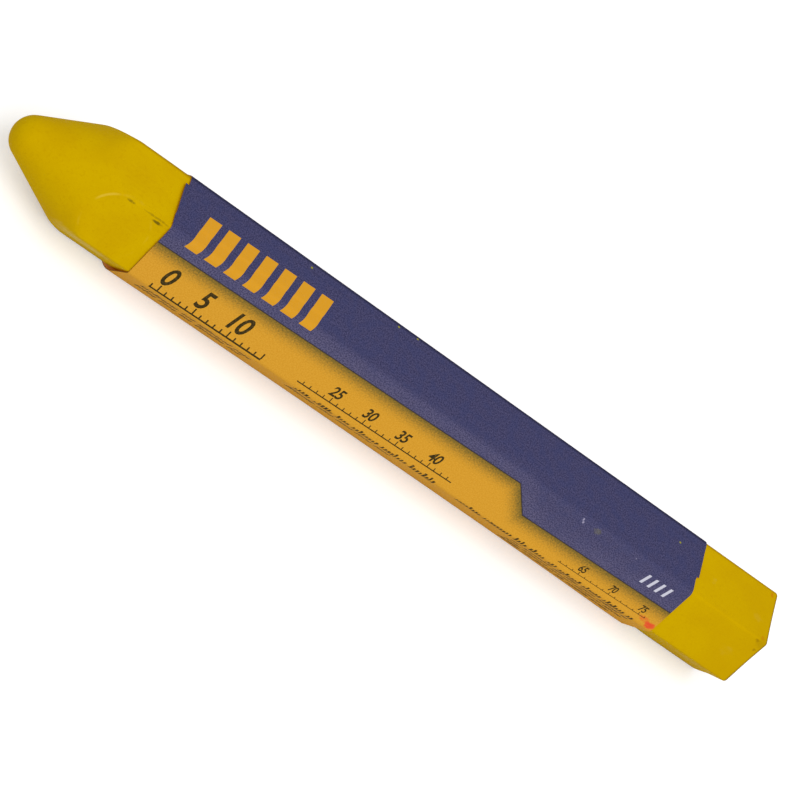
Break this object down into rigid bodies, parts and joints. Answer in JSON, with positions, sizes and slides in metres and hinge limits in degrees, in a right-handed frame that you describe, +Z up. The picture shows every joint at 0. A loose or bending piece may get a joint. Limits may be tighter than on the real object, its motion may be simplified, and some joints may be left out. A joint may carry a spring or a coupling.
{
  "type": "lumber crayon",
  "caption": "Hexagonal stick of marking wax with a blunt conical tip, in a loose wrapped paper sleeve that slides along it.",
  "frame": {"origin": "on the surface the crayon lies on, under the middle of its length and width", "axes": "+X along the stick from the marking tip to the butt, +Z up out of the flat that carries the paper's overlap, -Y towards the flat with the orange band"},
  "size_m": [0.1142, 0.015, 0.0132],
  "materials": {
    "marking_wax": "yellow marking wax with a dull waxy sheen, small scuffs and dust marks",
    "printed_paper": "coated label paper printed dark blue and orange, plain kraft back",
    "dried_glue": "thin dried film of label adhesive"
  },
  "bodies": {
    "stick": {"crayon_stick": "marking_wax"},
    "sleeve": {"paper_sleeve": "printed_paper", "lap_glue": "dried_glue"}
  },
  "joints": [
    {"name": "sleeve_slide", "type": "slide", "parent": "stick", "child": "sleeve", "axis": [1, 0, 0], "range_m": [-0.0188, 0.0985]}
  ]
}
